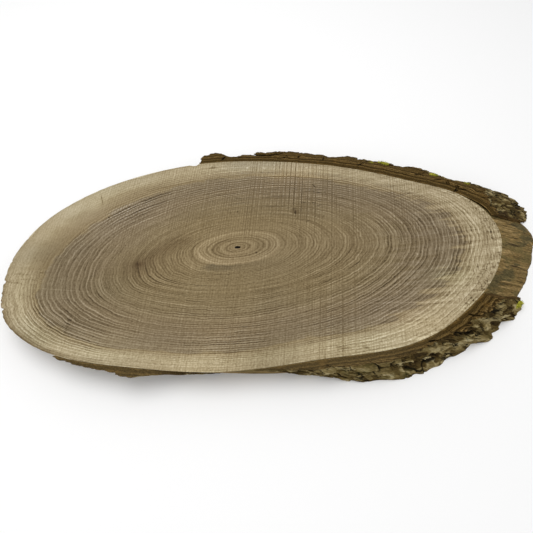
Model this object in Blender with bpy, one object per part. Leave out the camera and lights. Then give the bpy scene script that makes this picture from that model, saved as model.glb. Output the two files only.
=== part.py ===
"""Walnut slab: one slice sawn aslant through a walnut log, with bark left on part of its rim.

Metres, +Z up. X runs along the slab's long axis, towards the end whose rim leans outwards,
and the origin is the middle of the log's section on the flat underside.
Angles are read round the log's section, from +X towards +Y.
"""

from math import atan2, cos, exp, floor, pi, radians, sin, tan

import bmesh
import bpy
from mathutils import Vector, noise

MM = 0.001

# The slice
THICKNESS = 38 * MM
LOG_TILT = radians(60.5)  # between the log's axis and the slab's upright

# The log's section: the wood's radius at every 20 degrees, in millimetres
SECTION_RADII = [176, 171, 159, 160, 168, 181, 183, 178, 171, 169, 174, 173, 165, 166, 167, 184, 180, 177]
WOOD_SIDES = 240
WOOD_ROWS = 3

# The hollow pith, round in the log's section and long on the slanting cut
PITH_ANGLE = radians(130)
PITH_OFFSET = 17 * MM
PITH_RADIUS = 2.6 * MM

# A chip out of the wood's rim beside the end of the bark
CHIP_ANGLE = radians(101.6)
CHIP_WIDTH = radians(0.9)
CHIP_DEPTH = 4.0 * MM

# Bark in strips: (angle in degrees, thickness in millimetres) on the upper and the lower cut
BACK_UPPER = [
    (100, 8), (98.5, 14), (97, 20), (95, 19), (93.5, 14), (91, 15), (88, 18), (85, 21), (80, 24),
    (75, 23), (71, 20), (68, 16.5), (64, 21), (60, 22.5), (56, 20), (50, 22.5), (44, 23.5),
    (40, 23.5), (37, 21), (33, 17), (29, 19), (25, 20), (21, 20), (18, 14), (13, 8.5), (10, 8.5),
    (5, 6),
]
BACK_LOWER = [
    (100, 9), (95, 17), (85, 19), (75, 20), (60, 19), (45, 20), (33, 19), (27, 23), (24, 23),
    (20, 20.5), (16, 18), (12, 17.5), (9, 15), (6, 9),
]
FRONT_UPPER = [
    (-36, 13), (-42, 15.5), (-45.5, 11), (-47, 9.5), (-50, 12), (-54, 9.5), (-56.5, 6.5), (-60, 7),
    (-65, 10.5), (-71, 14), (-76, 13), (-80, 10), (-84, 10), (-89, 5), (-94, 1.5),
]
FRONT_LOWER = [
    (-35, 5), (-40, 9), (-44.6, 10), (-46.8, 4), (-49, 9), (-52, 12), (-55, 11.5), (-57.6, 5.5),
    (-60.5, 9), (-64, 12), (-68, 19), (-72, 25.5), (-75.5, 29), (-79, 27), (-82, 27), (-85, 21),
    (-88, 14), (-91, 8), (-95, 1.5),
]
SIDE_UPPER = [
    (-107, 1.5), (-109, 3), (-113, 4.5), (-117, 7.5), (-119, 11), (-120.5, 11.5), (-123, 8),
    (-126, 6.5), (-131, 5), (-136, 3.8), (-139, 1.8),
]
SIDE_LOWER = [(-113, 1.5), (-116, 3.5), (-120, 6), (-126, 5), (-133, 3), (-140, 1.5)]

# Rough bark: furrows follow the grain and wind between ridges
GROWTH_GAP = 0.4 * MM  # between the wood and the bark that clings to it
FURROW_SPACING = 17 * MM
FURROW_LENGTH = 60 * MM
FURROW_SHARPNESS = 0.15
LUMP_SPACING = 9 * MM
LUMP_LENGTH = 16 * MM
THINNEST_BARK = 1.2 * MM

# Where the back strip has sprung from the wood: middle, half width and opening
CRACK_ANGLE = radians(11)
CRACK_HALF_WIDTH = radians(11)
CRACK_OPENING = 2.2 * MM

# Where the upper edge of the side strip has broken away: middle, half width and depth
BREAK_ANGLE = radians(-111.5)
BREAK_HALF_WIDTH = radians(5.5)
BREAK_DEPTH = 8 * MM

WOOD_COLOUR = (0.30, 0.23, 0.14)
ROUGH_BARK_COLOUR = (0.09, 0.062, 0.028)
INNER_BARK_COLOUR = (0.11, 0.07, 0.032)
BARK_STRIPS = {
    "bark_back": dict(
        colour=ROUGH_BARK_COLOUR, upper=BACK_UPPER, lower=BACK_LOWER,
        columns=144, rows=11, furrows=5.5 * MM, ragged=radians(1.2),
    ),
    "bark_front": dict(
        colour=ROUGH_BARK_COLOUR, upper=FRONT_UPPER, lower=FRONT_LOWER,
        columns=96, rows=11, furrows=5.5 * MM, ragged=radians(0.8),
    ),
    "bark_side": dict(
        colour=INNER_BARK_COLOUR, upper=SIDE_UPPER, lower=SIDE_LOWER,
        columns=44, rows=6, furrows=1.2 * MM, ragged=radians(0.5),
    ),
}


def wood_radius(angle):
    """The wood's radius in the log's section, on a smooth closed curve through the readings."""
    count = len(SECTION_RADII)
    place = (angle / (2 * pi)) % 1 * count
    first = floor(place)
    part = place - first
    before, here, after, beyond = (SECTION_RADII[(first + step) % count] for step in (-1, 0, 1, 2))
    bend = (2 * before - 5 * here + 4 * after - beyond) * part**2
    twist = (3 * here - before - 3 * after + beyond) * part**3
    return MM * 0.5 * (2 * here + (after - before) * part + bend + twist)


def in_slab(angle, radius, height):
    """A place in the slab, from its angle and radius in the log's section and its height."""
    along = radius * cos(angle) / cos(LOG_TILT) - height * tan(LOG_TILT)
    return Vector((along, radius * sin(angle), height))


def along_log(place):
    """How far up the log's axis a place in the slab is."""
    return place.z * cos(LOG_TILT) - place.x * sin(LOG_TILT)


def hump(value, middle, half_width):
    """1 at the middle, falling smoothly to 0 half a width away."""
    away = abs(value - middle) / half_width
    return 0.5 + 0.5 * cos(pi * away) if away < 1 else 0.0


def reading(readings, share):
    """The angle and the thickness part of the way along a strip, eased between its readings."""
    first, last = readings[0][0], readings[-1][0]
    angle = first + (last - first) * share
    for (start, thin), (end, thick) in zip(readings, readings[1:]):
        part = (angle - start) / (end - start)
        if part < 1:
            break
    eased = 0.5 - 0.5 * cos(pi * min(part, 1))
    return radians(angle), MM * (thin + (thick - thin) * eased)


def relief(place, angle, depth):
    """How far the bark's rough surface stands out from its mean, between furrows and ridges."""
    around = wood_radius(angle) * angle
    along = along_log(place)
    winding = noise.noise(Vector((around / FURROW_SPACING, along / FURROW_LENGTH, 3.7)))
    lumps = noise.noise(Vector((around / LUMP_SPACING, along / LUMP_LENGTH, 9.1)))
    return depth * (0.2 + 0.5 * lumps - exp(-((winding / FURROW_SHARPNESS) ** 2)))


def steps_along(edge, axis):
    """Whether an edge of a box runs along that axis."""
    ends = edge.verts[1].co - edge.verts[0].co
    return abs(ends[axis]) > 0.5 * ends.length


def subdivide_along(shape, axis, pieces):
    """Cuts every edge that runs along an axis into equal pieces."""
    edges = [edge for edge in shape.edges if steps_along(edge, axis)]
    bmesh.ops.subdivide_edges(shape, edges=edges, cuts=pieces - 1)


def dry_material(name, colour):
    """A plain Principled material, dry and dull."""
    made = bpy.data.materials.new(name)
    made.use_nodes = True
    shader = made.node_tree.nodes["Principled BSDF"]
    shader.inputs["Base Color"].default_value = (*colour, 1)
    shader.inputs["Roughness"].default_value = 0.9
    shader.inputs["Metallic"].default_value = 0
    return made


def object_from(shape, name, collection):
    """Turns a shape into an object in a collection."""
    mesh = bpy.data.meshes.new(name)
    shape.to_mesh(mesh)
    shape.free()
    made = bpy.data.objects.new(name, mesh)
    collection.objects.link(made)
    return made


def wood_slab(collection, cutters):
    """The wood: a round bar bent to the log's section and leant over, with the pith drilled out."""
    shape = bmesh.new()
    bmesh.ops.create_cone(shape, cap_ends=True, segments=WOOD_SIDES, radius1=1, radius2=1, depth=1)
    subdivide_along(shape, 2, WOOD_ROWS)
    for vertex in shape.verts:
        angle = atan2(vertex.co.y, vertex.co.x)
        chip = CHIP_DEPTH * hump(angle, CHIP_ANGLE, CHIP_WIDTH)
        vertex.co = in_slab(angle, wood_radius(angle) - chip, (vertex.co.z + 0.5) * THICKNESS)
    slab = object_from(shape, "wood_slab", collection)
    slab.data.materials.append(dry_material("wood_slab", WOOD_COLOUR))

    drill = bmesh.new()
    bmesh.ops.create_cone(drill, cap_ends=True, segments=16, radius1=1, radius2=1, depth=2)
    for vertex in drill.verts:
        middle = Vector((cos(PITH_ANGLE), sin(PITH_ANGLE))) * PITH_OFFSET
        section = middle + vertex.co.xy * PITH_RADIUS
        angle = atan2(section.y, section.x)
        vertex.co = in_slab(angle, section.length, (vertex.co.z + 0.5) * THICKNESS)
    cutter = object_from(drill, "pith_cutter", cutters)
    cutter.hide_render = True
    cutter.display_type = "WIRE"
    hollow = slab.modifiers.new("pith", "BOOLEAN")
    hollow.operation = "DIFFERENCE"
    hollow.solver = "EXACT"
    hollow.object = cutter


def bark_strip(name, collection, colour, upper, lower, columns, rows, furrows, ragged):
    """One strip of bark: a long box bent round the log, with its outer side roughened."""
    shape = bmesh.new()
    bmesh.ops.create_cube(shape, size=1)
    subdivide_along(shape, 0, columns)
    subdivide_along(shape, 2, rows)
    for vertex in shape.verts:
        share = vertex.co.x + 0.5
        level = vertex.co.z + 0.5
        outside = vertex.co.y > 0
        angle_above, thick_above = reading(upper, share)
        angle_below, thick_below = reading(lower, share)
        angle = angle_below + (angle_above - angle_below) * level
        towards_end = 2 * share - 1
        angle += ragged * noise.noise(Vector((level * 3.1, towards_end, 5.3))) * towards_end**6
        height = level * (THICKNESS - BREAK_DEPTH * hump(angle, BREAK_ANGLE, BREAK_HALF_WIDTH))
        opening = CRACK_OPENING * hump(angle, CRACK_ANGLE, CRACK_HALF_WIDTH)
        radius = wood_radius(angle) + GROWTH_GAP + opening
        if outside:
            thickness = thick_below + (thick_above - thick_below) * level
            surface = in_slab(angle, wood_radius(angle) + thickness, height)
            thickness += relief(surface, angle, min(furrows, 0.4 * thickness))
            radius = max(wood_radius(angle) + thickness, radius + THINNEST_BARK)
        vertex.co = in_slab(angle, radius, height)
    strip = object_from(shape, name, collection)
    strip.data.materials.append(dry_material(name, colour))


def main():
    for old in list(bpy.data.objects):
        bpy.data.objects.remove(old)
    slab = bpy.data.collections.new("walnut_slab")
    cutters = bpy.data.collections.new("cutters")
    for collection in (slab, cutters):
        bpy.context.scene.collection.children.link(collection)
    wood_slab(slab, cutters)
    for name, strip in BARK_STRIPS.items():
        bark_strip(name, slab, **strip)


main()
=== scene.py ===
"""The walnut slab as it looks: sawn wood and its rings, bare rim, rough bark and moss.

Metres, in the slab's own frame. Angles are read round the log's section, from +X towards +Y.
"""

import random
from math import atan2, cos, exp, floor, pi, radians, sin, tan

import bmesh
import bpy
from mathutils import Matrix, Vector, noise


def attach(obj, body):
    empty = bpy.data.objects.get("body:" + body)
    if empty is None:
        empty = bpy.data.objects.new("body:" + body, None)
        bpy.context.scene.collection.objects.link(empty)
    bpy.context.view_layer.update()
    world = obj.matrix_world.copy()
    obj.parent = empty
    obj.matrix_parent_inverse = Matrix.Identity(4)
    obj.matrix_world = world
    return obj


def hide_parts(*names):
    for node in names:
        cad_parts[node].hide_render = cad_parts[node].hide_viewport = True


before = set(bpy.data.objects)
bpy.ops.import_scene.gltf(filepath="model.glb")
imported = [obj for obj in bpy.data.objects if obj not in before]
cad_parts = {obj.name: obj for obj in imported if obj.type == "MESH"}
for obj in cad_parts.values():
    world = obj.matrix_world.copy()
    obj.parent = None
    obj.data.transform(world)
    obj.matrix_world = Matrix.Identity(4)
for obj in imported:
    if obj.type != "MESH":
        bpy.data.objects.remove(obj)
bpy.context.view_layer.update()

MM = 0.001

# The slice and the log's section, as in the solids
THICKNESS = 38 * MM
LOG_TILT = radians(60.5)
SECTION_RADII = [176, 171, 159, 160, 168, 181, 183, 178, 171, 169, 174, 173, 165, 166, 167, 184, 180, 177]
MEAN_RADIUS = 172 * MM
PITH = Vector((cos(radians(130)), sin(radians(130)))) * 17 * MM

# Notches in the wood's rim: (angle, half width, depth), in degrees and millimetres
NOTCHES = [
    (101.6, 0.9, 4.0), (179.6, 0.9, 1.6), (-173.6, 0.7, 1.3), (-166.3, 0.9, 1.8), (-170.2, 0.5, 0.7),
    (168.5, 0.6, 0.8), (156.0, 0.5, 0.5), (-7.6, 0.5, 0.5), (-21.0, 0.4, 0.4),
]

# Growth rings: how far each is from the pith at every 30 degrees round it, in millimetres.
# A ring's age is the millimetres of growth from the pith towards +X.
RING_SHAPES = {
    30: [30, 28.7, 27.4, 26.3, 26, 27.5, 28.8, 29.1, 28.8, 27.6, 28.5, 29.3],
    60: [60, 55.3, 48.1, 44.1, 44.7, 47, 52.3, 56.8, 56.6, 55.5, 57.2, 59.3],
    90: [90, 79.7, 71.6, 67, 66.1, 67.9, 73.4, 83.2, 80.7, 80.8, 84.4, 90.4],
    120: [119.2, 110.7, 101.7, 92.9, 86.3, 90, 96.8, 109.6, 114.6, 117.8, 121.4, 122.6],
    150: [149.2, 140.5, 132.9, 129.8, 127.9, 125, 129.5, 141.5, 144.1, 147.8, 153.9, 153.8],
}
FULL_AGE = 186

# The rings that stand out: (age, how much lighter than the wood round it, in percent)
CORE_RINGS = [
    (0, 0), (4, 0), (5.5, -9), (6.8, 9), (8.4, -15), (10, 3), (12, 7), (14, -3), (15, -10), (16.1, 6),
    (17.1, -4), (18.3, -12), (19.8, 5), (20.8, 8), (22.2, -9), (23.8, 10), (24.8, -4), (25.9, 12),
    (27, -3), (28.3, 15), (30, 4), (32.8, 2), (33.8, -10), (34.8, 0), (38, 2),
]
EARLY_RINGS = [
    (38, 2), (40, 6), (42.5, 5), (46, -9), (49.5, 5), (53, -4), (56, 4), (59, -5), (62.5, 7), (67, -10),
    (70.5, 7), (73.5, -10), (77, 13), (80.5, -11), (84.5, -5), (88, 8),
]
LATE_RINGS = [
    (88, 8), (91, -5), (95.5, -5), (99, 8), (101.5, -4), (103.5, 7), (107.5, -11), (113.5, 14), (118, -11),
    (121.5, 9), (126, -13), (129, 9), (131.5, -4), (134, 4), (136.5, -13), (139, 9), (142.5, -13),
    (144.5, 4), (146, -7), (149.5, 12), (153, -8), (155, 2), (157, -6), (160, -7), (163.5, 11), (166, -3),
    (168.5, 4), (171.5, 9), (175, -5), (178, 5), (182, -4), (186, 0),
]

# Sapwood: how far in from the rim its pale part ends and the heartwood begins, every 30 degrees
PALE_WIDTHS = [19, 17, 14, 18, 20, 16, 13, 13, 14, 17, 22, 21]
HEART_DEPTHS = [26, 27, 26, 32, 39, 37, 26, 21, 21, 26, 35, 27]

# Bark in strips: (angle in degrees, thickness in millimetres) on the upper and the lower cut
BACK_UPPER = [
    (100, 15), (99.4, 20), (98.6, 22), (97, 22), (95.4, 20), (93.5, 14), (91, 15), (88, 18), (85, 21),
    (80, 24), (75, 23), (71, 20), (68, 16.5), (64, 21), (60, 22.5), (56, 20), (50, 22.5), (44, 23.5),
    (40, 23.5), (37, 21), (33, 17), (29, 19), (25, 20), (21, 20), (18, 14), (13, 8.5), (10, 8.5),
    (5, 6),
]
BACK_LOWER = [
    (100, 9), (95, 17), (85, 19), (75, 20), (60, 19), (45, 20), (33, 19), (27, 23), (24, 23),
    (20, 20.5), (16, 18), (14, 18), (12, 16), (10, 13), (8, 10.5), (6, 8),
]
FRONT_UPPER = [
    (-36, 13), (-42, 15.5), (-45.5, 11), (-47, 9.5), (-50, 12), (-54, 9.5), (-56.5, 6.5), (-60, 7),
    (-65, 10.5), (-71, 14), (-76, 13), (-80, 10), (-84, 10), (-89, 5), (-94, 1.5),
]
FRONT_LOWER = [
    (-35, 2.5), (-38, 6.5), (-40, 9), (-44.6, 9.5), (-46.8, 4), (-49, 7.5), (-51.5, 6.5), (-53.3, 13),
    (-55, 12), (-57.6, 5.5),
    (-60.5, 9), (-64, 12), (-68, 19), (-72, 25.5), (-75.5, 29), (-79, 27), (-82, 27), (-85, 21),
    (-88, 14), (-91, 8), (-95, 1.5),
]
SIDE_UPPER = [
    (-107, 1.5), (-109, 3), (-113, 4.5), (-117, 7.5), (-119, 11), (-120.5, 11.5), (-123, 8),
    (-126, 6.5), (-131, 5), (-136, 3.8), (-139, 1.8),
]
SIDE_LOWER = [(-113, 1.5), (-116, 3.5), (-120, 6), (-126, 5), (-133, 3), (-140, 1.5)]

GROWTH_GAP = 0.4 * MM
THINNEST_BARK = 1.2 * MM
CRACK = (radians(11), radians(11), 2.2 * MM)  # angle, half width and opening
BREAK = (radians(-111.5), radians(5.5), 8 * MM)  # angle, half width and depth

# Rough bark: how wide its furrows, lumps, flakes and plates are, and how long, along the grain
FURROW_SIZE = (17 * MM, 60 * MM)
FURROW_SHARPNESS = 0.15
LUMP_SIZE = (9 * MM, 16 * MM)
FLAKE_SIZE = (12 * MM, 42 * MM)
CHIP_SIZE = (11 * MM, 34 * MM)
PLATE_SIZE = (12 * MM, 42 * MM)
PLATE_CRACK_DEPTH = 3.4 * MM
DEEPEST_SPLIT = 12 * MM

# Splits in the sawn bark: (angle, depth, angle, depth, half width, how deep), degrees and millimetres
SPLITS = [
    (88.3, 15.5, 85.5, 13, 0.8, 6), (85.5, 13, 83, 13, 1.0, 9), (83, 13, 80, 18, 1.0, 9),
    (78.9, 9.3, 78.4, 12.5, 0.7, 5), (75.0, 10.6, 74.8, 14.5, 0.6, 4), (94.8, 4.3, 93.3, 13, 0.6, 4),
    (57.2, 7.8, 56.6, 13.4, 0.6, 4), (39.6, 12.3, 38.4, 16.3, 0.7, 5), (51.7, 18.2, 49.5, 18.2, 0.9, 6),
    (30.2, 13.8, 28.3, 9.3, 0.6, 4), (23.2, 1.5, 25.1, 9.0, 0.6, 5), (25.1, 9.0, 26.3, 10.5, 0.6, 5),
    (24.1, 7.3, 22.8, 8.4, 0.5, 4), (-45.3, 3.8, -44.8, 11.6, 0.6, 5), (-58.2, 4.0, -57.0, 6.5, 0.6, 4),
    (67.9, 9.0, 68.2, 16.0, 0.6, 4), (33.0, 10.5, 31.6, 16.0, 0.6, 4),
]

BARK_STRIPS = {
    "bark_back": dict(
        upper=BACK_UPPER, lower=BACK_LOWER, cuts=(22, 20, 74, 20), furrows=1.5 * MM, ragged=radians(1.2),
        roughness=1.0,
    ),
    "bark_front": dict(
        upper=FRONT_UPPER, lower=FRONT_LOWER, cuts=(20, 18, 80, 20), furrows=1.5 * MM, ragged=radians(0.8),
        roughness=1.0,
    ),
    "bark_side": dict(
        upper=SIDE_UPPER, lower=SIDE_LOWER, cuts=(14, 12, 40, 8), furrows=1.2 * MM, ragged=radians(0.5),
        roughness=0.35,
    ),
}

# Moss: (strip, angle, millimetres in from the bark's outer face, height up the slab, spread, leaves)
MOSS_TUFTS = [
    ("bark_back", 52.0, 2.5, 0.97, 8.0, 170), ("bark_back", 54.6, 5.0, 0.98, 4.0, 50),
    ("bark_back", 35.8, 2.0, 0.97, 5.5, 170), ("bark_back", 25.8, 2.5, 0.96, 5.0, 80),
    ("bark_front", -37.9, -0.2, 0.20, 8.5, 420),
]


# The log's geometry

def on_curve(values, angle):
    """A value on a smooth closed curve through readings spaced evenly round the section."""
    count = len(values)
    place = (angle / (2 * pi)) % 1 * count
    first = floor(place)
    part = place - first
    before, here, after, beyond = (values[(first + step) % count] for step in (-1, 0, 1, 2))
    bend = (2 * before - 5 * here + 4 * after - beyond) * part**2
    twist = (3 * here - before - 3 * after + beyond) * part**3
    return 0.5 * (2 * here + (after - before) * part + bend + twist)


def wood_radius(angle):
    """The wood's radius in the log's section."""
    return MM * on_curve(SECTION_RADII, angle)


def in_slab(angle, radius, height):
    """A place in the slab, from its angle and radius in the log's section and its height."""
    along = radius * cos(angle) / cos(LOG_TILT) - height * tan(LOG_TILT)
    return Vector((along, radius * sin(angle), height))


def along_log(place):
    """How far up the log's axis a place in the slab is."""
    return place.z * cos(LOG_TILT) - place.x * sin(LOG_TILT)


def hump(value, middle, half_width):
    """1 at the middle, falling smoothly to 0 half a width away."""
    away = abs(value - middle) / half_width
    return 0.5 + 0.5 * cos(pi * away) if away < 1 else 0.0


def rise(value, low, high):
    """0 below low and 1 above high, smooth between."""
    part = min(max((value - low) / (high - low), 0), 1)
    return part * part * (3 - 2 * part)


def reading(readings, share):
    """The angle and the thickness part of the way along a strip, eased between its readings."""
    first, last = readings[0][0], readings[-1][0]
    angle = first + (last - first) * share
    for (start, thin), (end, thick) in zip(readings, readings[1:]):
        part = (angle - start) / (end - start)
        if part < 1:
            break
    eased = 0.5 - 0.5 * cos(pi * min(part, 1))
    return radians(angle), MM * (thin + (thick - thin) * eased)


def bark_noise(around, along, size, row):
    """Noise on the bark's outside, as wide and as long as given; each row of it is different."""
    return noise.noise(Vector((around / size[0], along / size[1], row)))


def big_relief(around, along, depth):
    """The bark's furrows and ridges, at the same places as in the solids but shallower."""
    winding = bark_noise(around, along, FURROW_SIZE, 3.7)
    lumps = bark_noise(around, along, LUMP_SIZE, 9.1)
    return depth * (0.2 + 0.5 * lumps - exp(-((winding / FURROW_SHARPNESS) ** 2)))


def flakes(around, along):
    """The bark's loose flakes: how far they stand out, how near their edge is, where the finish paints
    shade under each lip, and a value for each.

    A rolling field is cut into steps, so each flake overlaps the next as thin bark does.
    """
    sway = bark_noise(around, along, (5 * MM, 14 * MM), 1.3)
    slide = bark_noise(around, along, (6 * MM, 14 * MM), 6.9)
    field = Vector((around / FLAKE_SIZE[0] + 0.4 * sway, along / FLAKE_SIZE[1] + 0.3 * slide, 4.4))
    rolling = 2.4 * noise.fractal(field, 0.9, 2.1, 3)
    layer = floor(rolling)
    part = rolling - layer
    lip = rise(part, 0.0, 0.14)
    edge = exp(-((part / 0.08) ** 2))
    chip = Vector((layer, around / CHIP_SIZE[0] + 0.8 * sway, along / CHIP_SIZE[1] + 0.8 * slide))
    lift = noise.cell(chip) - 0.5
    return (layer + lip - 0.30 * part + 0.5 * lift) * MM, edge, lift


def cracks(around, along):
    """How deep the place is in one of the cracks between the plates, from 0 to 1."""
    sway = 2.2 * MM * bark_noise(around, along, (5 * MM, 9 * MM), 8.3)
    plate = Vector(((around + sway) / PLATE_SIZE[0], (along + 2 * sway) / PLATE_SIZE[1], 0.7))
    distances = noise.voronoi(plate)[0]
    open_here = rise(bark_noise(around, along, (16 * MM, 30 * MM), 2.9), -0.2, 0.2)
    return exp(-(((distances[1] - distances[0]) / 0.065) ** 2)) * open_here


def split_depth(angle, depth):
    """How deep a split in the sawn bark is, at an angle and a depth out from the wood."""
    deepest = 0.0
    radius = wood_radius(angle)
    here = Vector((angle * radius, depth))
    for start, inner, end, outer, half_width, drop in SPLITS:
        first = Vector((radians(start) * radius, inner * MM))
        line = Vector((radians(end) * radius, outer * MM)) - first
        part = min(max((here - first).dot(line) / line.length_squared, 0), 1)
        away = (here - first - line * part).length / (half_width * MM)
        deepest = max(deepest, drop * MM * rise(-away, -1.6, -0.6))
    return deepest


# Work on a piece, as by hand

def start_piece(name, primitive, **settings):
    """Adds a primitive under its piece's name and opens it for editing."""
    bpy.ops.object.select_all(action="DESELECT")
    primitive(**settings)
    piece = bpy.context.object
    piece.name = piece.data.name = name
    bpy.ops.object.mode_set(mode="EDIT")
    return piece


def cut_along(piece, axis, pieces):
    """Cuts every edge that runs along an axis into equal pieces."""
    bpy.ops.mesh.select_mode(type="EDGE")
    bpy.ops.mesh.select_all(action="DESELECT")
    shape = bmesh.from_edit_mesh(piece.data)
    for edge in shape.edges:
        ends = edge.verts[1].co - edge.verts[0].co
        if abs(ends[axis]) > 0.9 * ends.length:
            edge.select_set(True)
    bmesh.update_edit_mesh(piece.data)
    bpy.ops.mesh.subdivide(number_cuts=pieces - 1)


def select_caps(piece):
    """Selects the faces that look straight up or down."""
    bpy.ops.mesh.select_mode(type="FACE")
    bpy.ops.mesh.select_all(action="DESELECT")
    shape = bmesh.from_edit_mesh(piece.data)
    shape.normal_update()
    for face in shape.faces:
        face.select_set(abs(face.normal.z) > 0.5)
    bmesh.update_edit_mesh(piece.data)


def keep(piece, name, values, kind="FLOAT"):
    """Stores a value for each vertex, for the finish to read."""
    attribute = piece.data.attributes.new(name, kind, "POINT")
    if kind == "FLOAT":
        attribute.data.foreach_set("value", values)
    else:
        attribute.data.foreach_set("color", [part for value in values for part in (*value, 1.0)])


# The wood

# The wood's blank: how many sides, rings and rows it is cut into, and what share of it is hollow
WOOD_SPOKES = 480
WOOD_RINGS = 62
WOOD_ROWS = 20
HOLLOW_SHARE = 0.0124
EDGE_SHARE = 0.0028

# A knot with a dark flame that runs up from it, and a pin knot, in the section
KNOT = Vector((-77.5, 10.5)) * MM
FLAME = [Vector((-79, -10)) * MM, Vector((-79, 4)) * MM, Vector((-66, 20)) * MM, Vector((-52, 34)) * MM]
PIN_KNOT = Vector((34.5, 63)) * MM

# Stains on the sawn faces: (place in the section, spread, colour to multiply by), in millimetres
STAINS = [
    ((-80, -8), 32, (0.93, 0.92, 0.91)),
    ((-92, 95), 38, (1.08, 1.10, 1.20)),
    ((118, 5), 36, (0.94, 0.94, 0.96)),
    ((85, 95), 30, (0.97, 0.965, 0.97)),
    ((-35, -115), 55, (1.02, 1.015, 1.01)),
    ((-105, 128), 22, (1.04, 1.05, 1.03)),
    ((128, -72), 13, (1.08, 1.14, 1.12)),
    ((-30, 60), 45, (1.02, 1.01, 0.99)),
    ((-2, 168), 14, (0.90, 0.93, 0.99)),
    ((22, 162), 15, (0.90, 0.93, 0.99)),
    ((46, 152), 14, (0.95, 0.96, 1.0)),
    ((-146, -90), 19, (0.86, 0.88, 0.86)),
    ((38, 130), 24, (1.20, 1.18, 1.17)),
    ((52, -160), 32, (1.12, 1.12, 1.09)),
    ((98, -132), 28, (1.18, 1.17, 1.13)),
    ((-46, -165), 26, (1.07, 1.06, 1.02)),
    ((-30, -122), 25, (1.17, 1.16, 1.14)),
    ((-95, -98), 20, (1.12, 1.12, 1.10)),
    ((-150, 42), 22, (0.84, 0.85, 0.87)),
    ((-100, -28), 20, (0.90, 0.91, 0.91)),
    ((-128, 112), 20, (1.10, 1.14, 1.20)),
    ((-106, 148), 16, (1.03, 1.07, 1.12)),
    ((-76, 160), 15, (1.05, 1.08, 1.13)),
    ((-152, -66), 16, (1.05, 1.08, 1.12)),
    ((-102, -122), 24, (1.07, 1.10, 1.13)),
    ((-42, -147), 20, (1.03, 1.05, 1.08)),
    ((68, -150), 24, (1.02, 1.06, 1.10)),
    ((-140, -15), 24, (0.94, 0.95, 0.93)),
    ((172, -24), 14, (0.90, 0.88, 0.85)),
    ((-9, 150), 10, (1.10, 1.11, 1.13)),
    ((-128, 8), 26, (0.94, 0.93, 0.92)),
    ((126, 64), 26, (0.93, 0.92, 0.92)),
    ((12, 12), 16, (0.92, 0.92, 0.92)),
    ((11, -24), 20, (0.89, 0.89, 0.89)),
    ((8, -74), 18, (0.92, 0.92, 0.93)),
    ((-50, -4), 18, (1.06, 1.06, 1.07)),
    ((58, -5), 48, (0.99, 0.99, 1.03)),
    ((80, -116), 32, (0.99, 0.99, 1.05)),
    ((1, -152), 22, (0.83, 0.83, 0.80)),
    ((112, -60), 24, (0.95, 0.95, 0.95)),
    ((46, -92), 20, (1.06, 1.06, 1.07)),
    ((10, 135), 14, (1.07, 1.07, 1.08)),
    ((99, 34), 14, (1.06, 1.06, 1.07)),
    ((-121, 42), 14, (0.94, 0.94, 0.95)),
    ((100, -118), 14, (0.93, 0.93, 0.94)),
]

# How much red, green and blue the darkening along the rim takes away
RIM_DARKENING_LOSS = (0.45, 0.52, 0.62)

# Small marks on the upper face: (start, end, half width, how much lighter), in the slab's millimetres
MARKS = [
    ((68, -97), (167, -110), 1.1, 0.29), ((26, -75), (126, -88), 1.0, 0.18),
    ((-366, -14), (-293, -30), 1.0, 0.25), ((-286, 138), (-281, 114), 1.3, -0.37),
    ((158.5, -30.8), (161.4, -35.4), 1.7, 0.57), ((38, 112), (42, 105), 1.5, -0.63),
    ((17, 79), (23, 79), 1.4, -0.46), ((30.8, 76.7), (36.3, 75.2), 1.4, -0.46),
    ((39, 71), (46, 72), 1.4, -0.40), ((-83.3, 75.1), (-80.9, 74.8), 1.7, -0.69),
    ((-65.3, 0.2), (-63.1, -0.1), 1.7, -0.57), ((3, 71), (2, 57), 2.2, -0.46),
    ((2, 46), (1, 28), 1.3, 0.29), ((-400, 13), (-375, 8), 2.0, -0.21),
    ((-388, 3), (-364, -2), 1.8, -0.18), ((-404, 1), (-385, -4), 1.7, -0.23),
    ((-371, 12), (-351, 7), 1.7, -0.16), ((-273, 93), (-271, 90), 1.5, -0.57),
    ((16, -151), (37, -156), 3.1, -0.18), ((50, -155), (59, -160), 2.0, -0.29),
    ((-118, 166.8), (-106, 168.3), 3.6, -0.34), ((-60.5, 160), (-55, 159.2), 2.1, 0.57),
    ((-34, 155.8), (-28.5, 154.4), 1.8, 0.52), ((33.5, 147.5), (37.5, 146.7), 1.7, 0.40),
    ((-315, -61), (-321.5, -90), 3.0, -0.20), ((-293, -108), (-289.5, -123), 2.4, -0.12),
    ((165, -31.5), (168, -30.5), 2.0, -0.25),
]

# Stains on the bare rim: (angle, half width, level, half height), in degrees and shares of the thickness
RIM_STAINS = [
    (2.6, 3.0, 0.24, 0.24), (-4.8, 2.0, 0.24, 0.34), (-8.6, 1.8, 0.30, 0.16), (-24.5, 1.7, 0.60, 0.24),
    (-19.5, 1.2, 0.45, 0.16), (-30.5, 5.0, 0.95, 0.5),
]

# How the saw's marks and the scratches run, how far apart the marks are, and the age of the pale core
SAW_WAY = radians(77.4)
SCRATCH_WAY = radians(-9)
TOOTH_SPACING = 3.6 * MM
BAR_SPACING = 5.9 * MM
CORE_AGE = 60
TONE_SHARE = 1 / 60  # how light one percent of a ring's tone is in the ramps


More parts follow.
